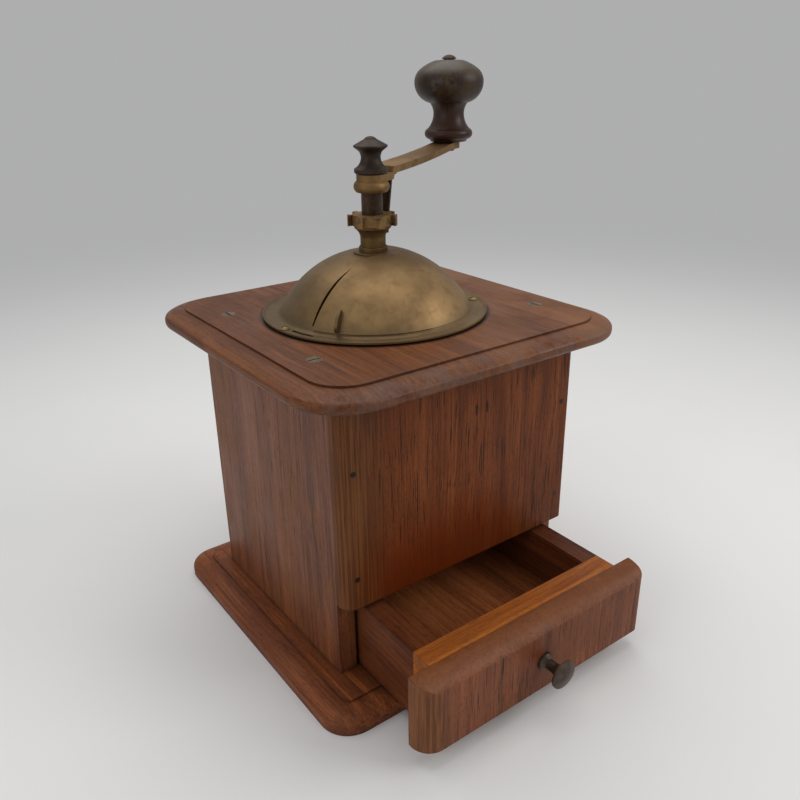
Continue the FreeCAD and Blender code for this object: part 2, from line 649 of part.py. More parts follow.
def outer_burr_ring():
    body = mill_body("outer_burr_ring")
    turned(
        body,
        ("RingThroat", "RingLow"), ("RingRadius", "RingLow"),
        ("RingRadius", "RingHigh"), ("RingMouth", "RingHigh"),
    )
    slope = "(RingMouth - RingThroat) / (RingHigh - RingLow)"
    tooth = new_sketch(body, "XZ_Plane")
    outline(
        tooth,
        ("ConeTop", f"RingLow - {OVERCUT}"), (f"RingThroat + ToothDeep - {slope}", f"RingLow - {OVERCUT}"),
        (f"RingMouth + ToothDeep + {slope}", f"RingHigh + {OVERCUT}"), ("ConeTop", f"RingHigh + {OVERCUT}"),
    )
    around(body, pocket(body, tooth, "ToothWide", "Symmetric"), OUTER_TEETH)


def burr_cone():
    body = mill_body("burr_cone")
    cheek = "(ConeLow + 3)"
    turned(
        body,
        ("ShaftRadius", "ConeLow"), ("ConeFoot", "ConeLow"), ("ConeFoot", cheek),
        ("ConeTop", "ConeHigh"), ("ShaftRadius", "ConeHigh"),
    )
    tooth = new_sketch(body, "XZ_Plane")
    outline(
        tooth,
        ("ConeFoot - ToothDeep", f"ConeLow - {OVERCUT}"), (f"ConeFoot + {OVERCUT}", f"ConeLow - {OVERCUT}"),
        (f"ConeFoot + {OVERCUT}", f"ConeHigh + {OVERCUT}"), ("ConeTop - ToothDeep", f"ConeHigh + {OVERCUT}"),
        ("ConeTop - ToothDeep", "ConeHigh"), ("ConeFoot - ToothDeep", cheek),
    )
    around(body, pocket(body, tooth, "ToothWide", "Symmetric"), CONE_TEETH)


def bearing_bridge():
    """Three arms across the funnel carry the shaft's lower bearing."""
    body = mill_body("bearing_bridge")
    disc = new_sketch(body, offset="BridgeLow")
    circle(disc, "BridgeRadius")
    pad(body, disc, "BridgeThick")
    hub = new_sketch(body, offset="BridgeLow")
    circle(hub, "HubRadius")
    pad(body, hub, "BridgeThick + HubRise")
    gap = new_sketch(body, offset="BridgeLow")
    inside, outside = "(HubRadius + HubRise / 2)", "(BridgeRadius - BridgeRim)"
    outline(
        gap,
        polar(inside, "85"), (*polar(inside, "20"), inside, "right"),
        polar(outside, "10"), (*polar(outside, "100"), outside, "left"),
    )
    around(body, pocket(body, gap, "BridgeThick", upwards=True), BRIDGE_ARMS)
    holes(body, "ShaftRadius + Running", [("0", "0")], offset="BridgeLow", upwards=True)


def burr_spring():
    """Coil spring between the cone and the bridge."""
    helix = doc.addObject("Part::Helix", "spring_path")
    bind(helix, "Pitch", "SpringPitch")
    bind(helix, "Height", "BridgeLow - ConeHigh - 4 * SpringWire")
    bind(helix, "Radius", "SpringRadius")
    wire = doc.addObject("Part::Circle", "spring_wire")
    bind(wire, "Radius", "SpringWire")
    wire.Placement = FreeCAD.Placement(FreeCAD.Vector(), FreeCAD.Rotation(FreeCAD.Vector(1, 0, 0), 90))
    place(wire, "SpringRadius")
    doc.recompute()
    spring = doc.addObject("Part::Sweep", "burr_spring")
    spring.Sections = [wire]
    spring.Spine = (helix, ["Edge1"])
    spring.Solid = True
    spring.Frenet = True
    spring.Label = "burr_spring"
    place(spring, "AxisAcross", "AxisBack", "ConeHigh + 2 * SpringWire")
    sub_parts.append(spring)


# ---------------------------------------------------------------- crank

def crank_body(name, z=0):
    """A body on the mill axis whose own X axis points along the crank's arm."""
    body = mill_body(name, z)
    body.Placement = FreeCAD.Placement(FreeCAD.Vector(), FreeCAD.Rotation(FreeCAD.Vector(0, 0, 1), 1))
    place(body, "AxisAcross", "AxisBack", z)
    bind(body, "Placement.Rotation.Angle", "CrankTurn")
    return body


def crank_shaft():
    body = mill_body("crank_shaft")
    foot = "(ConeLow - ThreadLong)"
    turned(
        body,
        ("0", foot), ("ThreadRadius", foot), ("ThreadRadius", "ConeLow"), ("ShaftRadius", "ConeLow"),
        ("ShaftRadius", NUT_TOP), ("SleeveRadius", NUT_TOP), ("SleeveRadius", "SleeveHigh"),
        ("SquareRadius", "SleeveHigh"), ("SquareRadius", EYE_TOP), ("ThreadRadius", EYE_TOP),
        ("ThreadRadius", f"{EYE_TOP} + FinialTall / 2"), ("0", f"{EYE_TOP} + FinialTall / 2"),
    )


def adjusting_nut():
    """Round nut with seven notches; the locking tongue stands in the one under the arm."""
    body = crank_body("adjusting_nut")
    disc = new_sketch(body, offset="NutLow")
    circle(disc, "NutRadius")
    circle(disc, "ShaftRadius")
    pad(body, disc, "NutThick")
    notch = new_sketch(body, offset=NUT_TOP)
    rectangle(notch, "NotchFloor", f"NutRadius + {OVERCUT}", "-NotchWide / 2", "NotchWide / 2")
    around(body, pocket(body, notch), NUT_NOTCHES)


def lock_tongue():
    """Bent steel strip: a foot under the arm, then down through a notch of the nut."""
    body = crank_body("lock_tongue")
    foot = f"({COLLAR_TOP} + ArmLift)"
    lane = "(NotchFloor + TongueGap)"
    step = f"({lane} + TongueStep)"
    drop = f"{foot} - TongueDrop"
    sketch = new_sketch(body, "XZ_Plane")
    outline(
        sketch,
        (f"{lane} + TongueFoot", foot), (f"{step} + TongueBend", foot),
        (step, f"{foot} - TongueBend", "TongueBend", "left"),
        (step, drop), (lane, NUT_TOP), (lane, "NutLow"), (f"{lane} - TongueGap", "NutLow - TongueTip"),
        (f"{lane} + TongueThick", "NutLow"), (f"{lane} + TongueThick", NUT_TOP),
        (f"{step} + TongueThick", drop), (f"{step} + TongueThick", f"{foot} - TongueThick"),
        (f"{lane} + TongueFoot", f"{foot} - TongueThick"),
    )
    pad(body, sketch, "TongueWide", "Symmetric")


def crank_collar():
    body = mill_body("crank_collar")
    shoulder = "(CollarRadius - CollarBead)"
    bead = "((CollarTall / 2)^2 + CollarBead^2) / (2 * CollarBead)"
    turned(
        body,
        ("SquareRadius", "SleeveHigh"), (shoulder, "SleeveHigh"),
        (shoulder, COLLAR_TOP, bead, "left"), ("SquareRadius", COLLAR_TOP),
    )


def crank_arm():
    """Flat bar: level eye, a joggle over the collar, a long shallow rise and a level pad."""
    body = crank_body("crank_arm")
    side = new_sketch(body, "XZ_Plane")
    rise_end, tip = "(CrankReach - ArmWide / 2)", "(CrankReach + ArmWide)"
    lift = f"({COLLAR_TOP} + ArmLift)"
    outline(
        side,
        ("-ArmWide", COLLAR_TOP), ("EyeEnd", COLLAR_TOP), ("JoggleEnd", lift),
        (rise_end, PAD_LOW, "ArmCurve", "left"), (tip, PAD_LOW), (tip, PAD_TOP),
        (rise_end, PAD_TOP),
        ("JoggleEnd - JoggleLean", f"{lift} + ArmThick", "ArmCurve", "right"),
        ("EyeEnd - JoggleLean", EYE_TOP), ("-ArmWide", EYE_TOP),
    )
    pad(body, side, f"ArmWide + 2 * {OVERCUT}", "Symmetric")
    trim = new_sketch(body)
    rectangle(trim, "-2 * ArmWide", f"{tip} + ArmWide", "-ArmWide", "ArmWide")
    outline(
        trim,
        ("0", "-ArmWide / 2", "ArmWide / 2", "left"), ("CrankReach", "-PadRadius"),
        ("CrankReach + PadRadius", "0", "PadRadius", "left"),
        ("CrankReach", "PadRadius", "PadRadius", "left"), ("0", "ArmWide / 2"),
        ("-ArmWide / 2", "0", "ArmWide / 2", "left"),
    )
    pocket(body, trim, upwards=True)
    holes(body, "SquareRadius", [("0", "0")], upwards=True)
    holes(body, "PinRadius", [("CrankReach", "0")], upwards=True)


def to_scale(wide, tall, *corners):
    """Outline corners given as shares of a radius and of a height."""
    scaled = []
    for share_wide, share_tall, *arc in corners:
        corner = [f"{wide} * {share_wide}", f"{tall} * {share_tall}"]
        if arc:
            corner += [arc[0] if arc[0] == ON_AXIS else f"{wide} * {arc[0]}", arc[1]]
        scaled.append(tuple(corner))
    return scaled


def finial_nut():
    """Turned cap nut: a foot ring, a waist, and a cap with a pointed top."""
    body = mill_body("finial_nut", EYE_TOP)
    turned(
        body,
        ("ThreadRadius", "0"),
        *to_scale(
            "FinialRadius", "FinialTall",
            (0.9, 0.0), (1.0, 0.05), (1.0, 0.14), (0.84, 0.19), (0.58, 0.42, 0.75, "right"),
            (0.7, 0.61, 0.6, "right"), (0.97, 0.71), (1.0, 0.74, 0.05, "left"), (0.97, 0.77, 0.05, "left"),
            (0.38, 0.92), (0.0, 1.0, ON_AXIS, "left"), (0.0, 0.5),
        ),
        ("ThreadRadius", "FinialTall * 0.5"),
    )


def knob_spindle():
    """Riveted pin: a low head under the arm and a domed head on top of the knob."""
    body = new_body("knob_spindle", KNOB_ACROSS, KNOB_BACK, PAD_TOP)
    top = "(KnobTall + 2 * KnobGap)"
    under = "(-ArmThick)"
    turned(
        body,
        ("0", f"{under} - RivetFoot"), ("PinRadius", f"{under} - RivetFoot"),
        ("RivetRadius + RivetBrim", under), ("PinRadius", under), ("PinRadius", top),
        ("RivetRadius", top), ("RivetRadius", f"{top} + RivetBrim"),
        ("0", f"{top} + RivetTall", ON_AXIS, "left"),
    )


def crank_knob():
    """Turned wooden knob: foot bead, waist, and a broad head."""
    body = new_body("crank_knob", KNOB_ACROSS, KNOB_BACK, f"{PAD_TOP} + KnobGap")
    bore = "(PinRadius + Running)"
    turned(
        body,
        (bore, "0"),
        *to_scale(
            "KnobRadius", "KnobTall",
            (0.52, 0.0), (0.57, 0.03), (0.61, 0.162, 0.153, "left"), (0.447, 0.351, 0.612, "right"),
            (0.55, 0.48, 0.453, "right"), (1.0, 0.734, 0.577, "left"), (0.847, 0.886, 0.449, "left"),
            (0.39, 0.993, 1.3, "left"),
        ),
        (bore, "KnobTall"),
    )


# ---------------------------------------------------------------- drawer

def drawer_box():
    half, inner = "(BoxWide / 2)", "(BoxWide / 2 - BoxSide)"
    groove = f"({inner} + FloorTongue)"
    front_back = f"({FACE_BACK} + BoxEnd)"
    back_front = f"({BOX_BACK} - BoxSide)"
    high = ("DrawerLow", DRAWER_TOP)
    floor = (FLOOR_LOW, "FloorHigh")
    grooved_board(
        "drawer_left_side", (f"-{half}", f"-{inner}", front_back, BOX_BACK, *high),
        (f"-{groove}", f"-{inner}", front_back, f"{back_front} + FloorTongue", *floor),
    )
    grooved_board(
        "drawer_right_side", (inner, half, front_back, BOX_BACK, *high),
        (inner, groove, front_back, f"{back_front} + FloorTongue", *floor),
    )
    grooved_board(
        "drawer_back", (f"-{inner}", inner, back_front, BOX_BACK, *high),
        (f"-{inner}", inner, back_front, f"{back_front} + FloorTongue", *floor),
    )
    bottom = board(
        "drawer_bottom", f"-{groove}", groove,
        f"{front_back} - FloorTongue", f"{back_front} + FloorTongue", *floor,
    )
    sub_parts.append(bottom)


def drawer_box_front():
    """The box's own front board: it takes the floor in a groove and the handle's screw."""
    body = new_body("drawer_box_front")
    sketch = new_sketch(body, offset="DrawerLow")
    rectangle(sketch, "-BoxWide / 2", "BoxWide / 2", FACE_BACK, f"{FACE_BACK} + BoxEnd")
    pad(body, sketch, "DrawerTall")
    groove = new_sketch(body, "XZ_Plane", f"-({FACE_BACK} + BoxEnd)")
    reach = "(BoxWide / 2 - BoxSide + FloorTongue)"
    rectangle(groove, f"-{reach}", reach, FLOOR_LOW, "FloorHigh")
    pocket(body, groove, "FloorTongue", upwards=True)
    holes(body, "HandleScrew", [("0", "HandleHigh")], None, "XZ_Plane", f"-({FACE_BACK})")


def drawer_front():
    """Front board with a top that falls away forwards and broadly rounded upright edges."""
    body = new_body("drawer_front")
    sketch = new_sketch(body, "YZ_Plane")
    outline(
        sketch,
        (FACE_FRONT, "DrawerLow"), (FACE_BACK, "DrawerLow"), (FACE_BACK, DRAWER_TOP),
        (FACE_FRONT, f"{DRAWER_TOP} - FaceBevel", "FaceArc", "left"),
    )
    pad(body, sketch, "CaseWide", "Symmetric")
    for side, radius in ((-1, "FaceRound"), (1, "FaceEndRound")):
        uprights = upright_edges(body, number(f"{side} * CaseWide / 2"), number(FACE_FRONT))
        round_edges(body, uprights, radius)
    holes(body, "HandleScrew", [("0", "HandleHigh")], None, "XZ_Plane", f"-({FACE_FRONT})")


def forward_body(name, y):
    """A body on the drawer handle's axis whose own Z axis points out of the drawer."""
    body = new_body(name)
    body.Placement = FreeCAD.Placement(FreeCAD.Vector(), FreeCAD.Rotation(FreeCAD.Vector(1, 0, 0), 90))
    place(body, 0, y, "HandleHigh")
    return body


def drawer_handle():
    """Small turned knob: foot ring, trumpet neck and a thin domed cap."""
    body = forward_body("drawer_handle", FACE_FRONT)
    turned(
        body,
        *to_scale(
            "HandleRadius", "HandleLong",
            (0.0, 0.0), (0.62, 0.0), (0.62, 0.1), (0.36, 0.22), (0.36, 0.5), (0.8, 0.86, 0.85, "right"),
            (1.0, 0.88), (1.0, 0.95), (0.0, 1.05, ON_AXIS, "left"),
        ),
    )
    holes(body, "HandleScrew", [("0", "0")], "HandleLong / 2", upwards=True)


def drawer_handle_screw():
    body = forward_body("drawer_handle_screw", f"{FACE_BACK} + BoxEnd")
    grip = "(BoxEnd + FaceThick + HandleLong / 2)"
    turned(
        body,
        ("0", "-HandleScrew"), ("HandleScrew * 2.2", "-HandleScrew"), ("HandleScrew * 2.2", "0"),
        ("HandleScrew", "0"), ("HandleScrew", grip), ("0", grip),
    )


# ---------------------------------------------------------------- assembly

base_plate()
side_wall("left_wall", -1)
side_wall("right_wall", 1)
front_panel()
panel("back_panel", 1, "BaseThick", "EdgeRound")
top_plate()
top_plate_screws()
front_nails()
hopper_dome()
for screw, screw_turn in enumerate(DOME_SCREW_TURNS, start=1):
    machine_screw(f"dome_screw_{screw}", "DomeScrewRing", screw_turn, FLANGE_TOP)
for screw, screw_turn in enumerate(HOUSING_SCREW_TURNS, start=1):
    machine_screw(f"housing_screw_{screw}", "HousingScrewRing", screw_turn, f"({LID_TOP} + FlangeThick)")
neck_bearing()
hex_nut("neck_lock_nut", "LockNutWide", "NeckStem", LOCK_NUT_LOW, "LockNutThick")
washer("neck_washer", "NeckWasher", "NeckStem", NECK_WASHER_LOW, "WasherThick")
burr_housing()
outer_burr_ring()
bearing_bridge()
hopper_shutter()
shutter_tab()
crank_shaft()
adjusting_nut()
lock_tongue()
crank_collar()
crank_arm()
finial_nut()
knob_spindle()
burr_cone()
washer("burr_washer", "BurrWasher", "ThreadRadius", "ConeLow - WasherThick", "WasherThick")
hex_nut("burr_nut", "BurrNutWide", "ThreadRadius", "ConeLow - WasherThick - BurrNutThick", "BurrNutThick")
burr_spring()
crank_knob()
drawer_front()
drawer_box_front()
drawer_box()
drawer_handle()
drawer_handle_screw()
doc.recompute()

for item in doc.Objects:
    if "Invalid" in item.State or "Error" in item.State:
        raise RuntimeError(f"{item.Label} did not compute: {item.State}")
for item in sub_parts:
    if item.Shape.isNull() or not item.Shape.isValid() or item.Shape.Volume <= 0:
        raise RuntimeError(f"{item.Label} has no valid solid")

os.makedirs("parts", exist_ok=True)
for item in sub_parts:
    item.Shape.exportStep(os.path.join("parts", f"{item.Label}.step"))
    print(f"{item.Label}: {item.Shape.Volume / 1000:.2f} cm3, {len(item.Shape.Solids)} solid")
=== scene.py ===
import math

import bpy
from mathutils import Matrix, Vector

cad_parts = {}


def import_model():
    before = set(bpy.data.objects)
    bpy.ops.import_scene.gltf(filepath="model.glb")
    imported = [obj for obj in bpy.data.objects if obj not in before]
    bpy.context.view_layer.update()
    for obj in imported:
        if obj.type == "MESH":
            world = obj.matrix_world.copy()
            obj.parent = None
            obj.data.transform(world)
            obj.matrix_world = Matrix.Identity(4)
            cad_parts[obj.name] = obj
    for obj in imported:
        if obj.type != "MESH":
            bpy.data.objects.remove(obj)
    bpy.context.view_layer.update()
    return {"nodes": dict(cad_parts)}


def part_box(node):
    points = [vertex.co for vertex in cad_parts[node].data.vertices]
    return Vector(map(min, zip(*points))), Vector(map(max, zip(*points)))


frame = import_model()

# Antique box coffee mill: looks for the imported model, in metres and on the frame's own axes.

# Camera: the photograph's viewing angle in degrees, the lens and the sensor in millimetres
CAMERA_TARGET = (0.0053, -0.0041, 0.0985)
CAMERA_AZIMUTH = -36.02
CAMERA_ELEVATION = 23.26
CAMERA_ROLL = -0.92
CAMERA_DISTANCE = 0.3574
CAMERA_LENS = 35.31
CAMERA_SENSOR = 36.0
CAMERA_CLIP = 0.01

# Studio: the floor fades to black and glows with the backdrop's own brightness between the two fade
# distances
FLOOR_REACH = 12.0
FLOOR_DARK = (0.755, 0.755, 0.750)
FLOOR_LIGHT = (0.815, 0.815, 0.810)
FADE_START = 0.18
FADE_END = 1.0
WORLD_STRENGTH = 0.43
WORLD_COLOUR = (0.985, 0.988, 1.0)
LAMPS = (
    # name, place, aimed at, side, watts, colour
    ("overhead", (0.05, 0.20, 0.90), (0, 0, 0.10), 0.9, 4.0, (1.0, 0.99, 0.97)),
    ("front_right", (0.60, -0.60, 0.60), (0, 0, 0.12), 0.5, 3.0, (1.0, 0.98, 0.95)),
    ("left", (-0.90, -0.10, 0.40), (0, 0, 0.10), 0.6, 1.4, (0.97, 0.98, 1.0)),
)

# Wood: noise cells per metre across, through and along the fibres. Pores have the same number
# across and through, and each wood has its own number along.
WANDER_CELLS = (18, 18, 7)
BROAD_CELLS = (55, 55, 5)
BAND_CELLS = (190, 190, 4)
FIBRE_CELLS = (900, 900, 14)
LINE_CELLS = (420, 420, 6)
GRIT_CELLS = (2400, 2400, 420)
PORE_CELLS = 1900

# Wood: how far the grain wanders, in metres, and the tones at which its three colours stand
WANDER_REACH = 0.012
TONE_STOPS = (0.42, 0.50, 0.58)

# Rubbed scratches: cells per metre on the frame's axes, then turned by degrees
WOOD_RUB_CELLS = (30, 1500, 1500)
WOOD_RUB_TURN = (0, 15, 48)
BRASS_RUB_CELLS = (1900, 50, 300)
BRASS_RUB_TURN = (20, 35, 50)

# Masks: ambient occlusion on an open face and deep in a corner, and the cosine between the
# rounded and the true normal on a flat face and on an edge. A spot fades between the two limits,
# which are squared distances in half sizes.
MASK_SAMPLES = 4
OPEN_FACE = 0.75
DEEP_CORNER = 0.15
FLAT_COSINE = 0.995
EDGE_COSINE = 0.8
SPOT_OUTSIDE = 1.2
SPOT_INSIDE = 0.6

# Colours that more than one piece shares
# dark worn wood, also the colour of the painted shade in wood corners
WORN_WOOD_AND_SHADE = (0.022, 0.009, 0.005)
# dirt for the front panel's marks, and the painted shadow round the dome
DIRT_AND_SHADOW = (0.012, 0.006, 0.004)
# near black for the painted shade in iron and steel corners
CORNER_SHADE_BLACK = (0.008, 0.006, 0.005)
BRASS_RUST = (0.230, 0.085, 0.020)
IRON_RUST = (0.120, 0.050, 0.020)

# Old brass is partly oxide, so it isn't a full metal
BRASS_METALLIC = 0.8


# ---------------------------------------------------------------- node tree helper

class Tree:
    """A material's node tree, built from short calls that return output sockets."""

    def __init__(self, name):
        self.material = bpy.data.materials.new(name)
        self.material.use_nodes = True
        self.nodes = self.material.node_tree.nodes
        self.links = self.material.node_tree.links
        self.nodes.clear()
        self.shader = self.nodes.new("ShaderNodeBsdfPrincipled")
        output = self.nodes.new("ShaderNodeOutputMaterial")
        self.links.new(self.shader.outputs[0], output.inputs["Surface"])
        self.place = self.nodes.new("ShaderNodeTexCoord").outputs["Object"]

    def feed(self, socket, value):
        """Link an output to a socket, or set the socket's own value."""
        if isinstance(value, bpy.types.NodeSocket):
            self.links.new(value, socket)
        else:
            socket.default_value = value

    def set(self, **values):
        """Feed the shader's inputs by name, with _ for a space."""
        for name, value in values.items():
            if isinstance(value, tuple):
                value = (*value, 1.0)
            self.feed(self.shader.inputs[name.replace("_", " ")], value)

    def math(self, operation, *values):
        node = self.nodes.new("ShaderNodeMath")
        node.operation = operation
        for socket, value in zip(node.inputs, values):
            self.feed(socket, value)
        return node.outputs[0]

    def scaled(self, value, factor):
        return self.math("MULTIPLY", value, factor)

    def added(self, first, second):
        return self.math("ADD", first, second)

    def mix(self, share, first, second):
        """Blend two colours. A Mix node's colour sockets are inputs 6 and 7 and output 2."""
        node = self.nodes.new("ShaderNodeMix")
        node.data_type = "RGBA"
        self.feed(node.inputs[0], share)
        for socket, value in zip(node.inputs[6:8], (first, second)):
            self.feed(socket, (*value, 1.0) if isinstance(value, tuple) else value)
        return node.outputs[2]

    def stain(self, colour, other, mask, share):
        """Lay another colour over the first by a share of the mask."""
        return self.mix(self.scaled(mask, share), colour, other)

    def range(self, value, low, high, to_low=0.0, to_high=1.0):
        """Smooth step of the value from low to high; low may be the larger one."""
        node = self.nodes.new("ShaderNodeMapRange")
        node.interpolation_type = "SMOOTHSTEP"
        for socket, number in zip(node.inputs, (value, low, high, to_low, to_high)):
            self.feed(socket, number)
        return node.outputs[0]

    def ramp(self, value, stops, colours):
        """Colours at positions along the value."""
        node = self.nodes.new("ShaderNodeValToRGB")
        elements = node.color_ramp.elements
        while len(elements) < len(stops):
            elements.new(0.5)
        for element, position, colour in zip(elements, stops, colours):
            element.position = position
            element.color = (*colour, 1.0)
        self.feed(node.inputs[0], value)
        return node.outputs[0]

    def mapped(self, vector, scale=(1, 1, 1), offset=(0, 0, 0), turn=(0, 0, 0)):
        node = self.nodes.new("ShaderNodeMapping")
        self.feed(node.inputs[0], vector)
        node.inputs["Location"].default_value = offset
        node.inputs["Rotation"].default_value = [math.radians(angle) for angle in turn]
        node.inputs["Scale"].default_value = scale
        return node.outputs[0]

    def noise(self, vector, scale, detail, roughness=0.5, distortion=0.0):
        node = self.nodes.new("ShaderNodeTexNoise")
        self.feed(node.inputs["Vector"], vector)
        node.inputs["Scale"].default_value = scale
        node.inputs["Detail"].default_value = detail
        node.inputs["Roughness"].default_value = roughness
        node.inputs["Distortion"].default_value = distortion
        return node.outputs[0]

    def streaks(self, vector, cells, detail, roughness=0.5, turn=(0, 0, 0)):
        """Noise with its own number of cells per metre along each axis."""
        return self.noise(self.mapped(vector, cells, turn=turn), 1.0, detail, roughness)

    def split(self, vector):
        node = self.nodes.new("ShaderNodeSeparateXYZ")
        self.feed(node.inputs[0], vector)
        return node.outputs

    def join(self, x, y, z):
        node = self.nodes.new("ShaderNodeCombineXYZ")
        for socket, value in zip(node.inputs, (x, y, z)):
            self.feed(socket, value)
        return node.outputs[0]

    def bump(self, *layers):
        """Stack (height, distance in metres, strength) layers into one normal."""
        normal = None
        for height, distance, strength in layers:
            node = self.nodes.new("ShaderNodeBump")
            node.inputs["Distance"].default_value = distance
            node.inputs["Strength"].default_value = strength
            self.feed(node.inputs["Height"], height)
            if normal is not None:
                self.links.new(normal, node.inputs["Normal"])
            normal = node.outputs[0]
        self.links.new(normal, self.shader.inputs["Normal"])

    def painted_corner_shade(self, reach):
        """1 in corners and gaps narrower than the reach, 0 on open faces: the mask for painted shade."""
        node = self.nodes.new("ShaderNodeAmbientOcclusion")
        node.samples = MASK_SAMPLES
        node.inputs["Distance"].default_value = reach
        return self.range(node.outputs["AO"], OPEN_FACE, DEEP_CORNER)

    def edge_mask(self, radius):
        """1 along convex or concave edges within the radius, 0 on open faces."""
        bevel = self.nodes.new("ShaderNodeBevel")
        bevel.samples = MASK_SAMPLES
        bevel.inputs["Radius"].default_value = radius
        geometry = self.nodes.new("ShaderNodeNewGeometry")
        dot = self.nodes.new("ShaderNodeVectorMath")
        dot.operation = "DOT_PRODUCT"
        self.links.new(bevel.outputs[0], dot.inputs[0])
        self.links.new(geometry.outputs["Normal"], dot.inputs[1])
        return self.range(dot.outputs["Value"], FLAT_COSINE, EDGE_COSINE)

    def spot(self, point, centre, half):
        """1 inside an upright ellipsoid about the centre, with a soft rim."""
        shares = []
        for value, middle, reach in zip(point, centre, half):
            share = self.math("DIVIDE", self.math("SUBTRACT", value, middle), reach)
            shares.append(self.scaled(share, share))
        distance = self.added(self.added(shares[0], shares[1]), shares[2])
        return self.range(distance, SPOT_OUTSIDE, SPOT_INSIDE)


# ---------------------------------------------------------------- kinds of material

def wood(name, grain, dark, mid, light, seed, streaks, pores, gloss, pore_length=70, patches=None,
         scratches=0.3, corner_shade_share=0.6, wear=0.5, worn_and_shade=WORN_WOOD_AND_SHADE, shine=0.22, touch=None):
    """Waxed solid wood. grain is the axis the fibres run along; touch adds a board's own marks and
    painted light.
    """
    tree = Tree(name)
    x, y, z = tree.split(tree.mapped(tree.place, offset=(seed, seed * 0.7, seed * 1.3)))
    across, through, along = {"X": (y, z, x), "Y": (z, x, y), "Z": (x, y, z)}[grain]
    wander = tree.streaks(tree.join(across, through, along), WANDER_CELLS, 2.0)
    bend = tree.scaled(tree.math("SUBTRACT", wander, 0.5), WANDER_REACH)
    bent = tree.join(tree.added(across, bend), tree.added(through, bend), along)

    # growth: broad and fine bands and the fibres, in nearly equal parts
    broad = tree.streaks(bent, BROAD_CELLS, 3.0, 0.55)
    bands = tree.streaks(bent, BAND_CELLS, 3.0, 0.55)
    fibres = tree.streaks(bent, FIBRE_CELLS, 3.0, 0.6)
    tone = tree.added(tree.scaled(broad, 0.34), tree.scaled(bands, 0.33))
    tone = tree.added(tone, tree.scaled(fibres, 0.33))
    colour = tree.ramp(tone, TONE_STOPS, (dark, mid, light))

    # patches, dark lines, pores and fine grit
    cloud = tree.noise(tree.place, 34.0, 4.0, 0.6)
    if patches is not None:
        colour = tree.mix(tree.range(cloud, 0.48, 0.66, to_high=0.8), colour, patches)
    line = tree.streaks(bent, LINE_CELLS, 2.0)
    colour = tree.mix(tree.range(line, 0.57, 0.70, to_high=streaks), colour, worn_and_shade)
    pore = tree.streaks(bent, (PORE_CELLS, PORE_CELLS, pore_length), 1.0, 0.4)
    pore_mask = tree.range(pore, 0.60, 0.70)
    colour = tree.stain(colour, worn_and_shade, pore_mask, pores)
    grit = tree.streaks(bent, GRIT_CELLS, 2.0, 0.6)
    colour = tree.mix(tree.range(grit, 0.50, 0.66, to_high=0.40), colour, worn_and_shade)
    if touch is not None:
        colour = touch(tree, colour, *tree.split(tree.place))

    # use: scratches in patches and worn edges, then painted shade in the corners
    rub = tree.streaks(tree.place, WOOD_RUB_CELLS, 2.0, turn=WOOD_RUB_TURN)
    rub_mask = tree.scaled(tree.range(rub, 0.63, 0.72), tree.range(cloud, 0.42, 0.62))
    colour = tree.stain(colour, light, rub_mask, scratches)
    edge = tree.scaled(tree.edge_mask(radius=0.0010), tree.range(cloud, 0.30, 0.60, to_low=0.15))
    colour = tree.stain(colour, worn_and_shade, edge, wear)
    # painted shade: corners and gaps, such as the lid's moulding step, darkened to the worn colour
    colour = tree.stain(colour, worn_and_shade, tree.painted_corner_shade(reach=0.004), corner_shade_share)

    tree.set(Base_Color=colour, Specular_IOR_Level=shine)
    dull = tree.added(tree.scaled(tree.math("SUBTRACT", cloud, 0.5), 0.5), gloss)
    tree.set(Roughness=tree.added(dull, tree.scaled(pore_mask, 0.15)))
    tree.bump(
        (pore_mask, 0.00008, -0.6 * pores),
        (fibres, 0.00010, 0.30),
        (grit, 0.00005, -0.35),
        (rub_mask, 0.00006, -0.5 * scratches),
        (cloud, 0.0006, 0.10),
    )
    return tree.material


def brass(name, base, dark, bright, grime, roughness=0.45, rust=0.0, touch=None):
    """Old brass: a dull, uneven skin with darker stains, fine rubbing and painted shade in its corners.
    """
    tree = Tree(name)
    cloud = tree.noise(tree.place, 45.0, 4.0, 0.6)
    blotch = tree.noise(tree.place, 210.0, 5.0, 0.7, distortion=0.3)
    speck = tree.noise(tree.place, 1300.0, 3.0, 0.6)
    colour = tree.mix(tree.range(cloud, 0.38, 0.62), base, bright)
    colour = tree.mix(tree.range(blotch, 0.50, 0.70, to_high=grime), colour, dark)
    colour = tree.mix(tree.range(speck, 0.58, 0.72, to_high=0.5 * grime), colour, dark)
    if rust > 0:
        colour = tree.mix(tree.range(blotch, 0.50, 0.40, to_high=rust), colour, BRASS_RUST)
    if touch is not None:
        colour = touch(tree, colour, *tree.split(tree.place))
    colour = tree.stain(colour, bright, tree.edge_mask(radius=0.0006), 0.35)
    # painted shade: corners and gaps, such as under the dome's rim, darkened to the dark colour
    colour = tree.stain(colour, dark, tree.painted_corner_shade(reach=0.0025), 0.7)

    tree.set(Base_Color=colour, Metallic=BRASS_METALLIC)
    rub = tree.streaks(tree.place, BRASS_RUB_CELLS, 2.0, 0.6, turn=BRASS_RUB_TURN)
    rough = tree.added(roughness - 0.10, tree.scaled(blotch, 0.20))
    tree.set(Roughness=tree.added(rough, tree.scaled(rub, 0.10)))
    tree.bump((rub, 0.00004, 0.25), (cloud, 0.0008, 0.12), (speck, 0.00004, 0.30))
    return tree.material


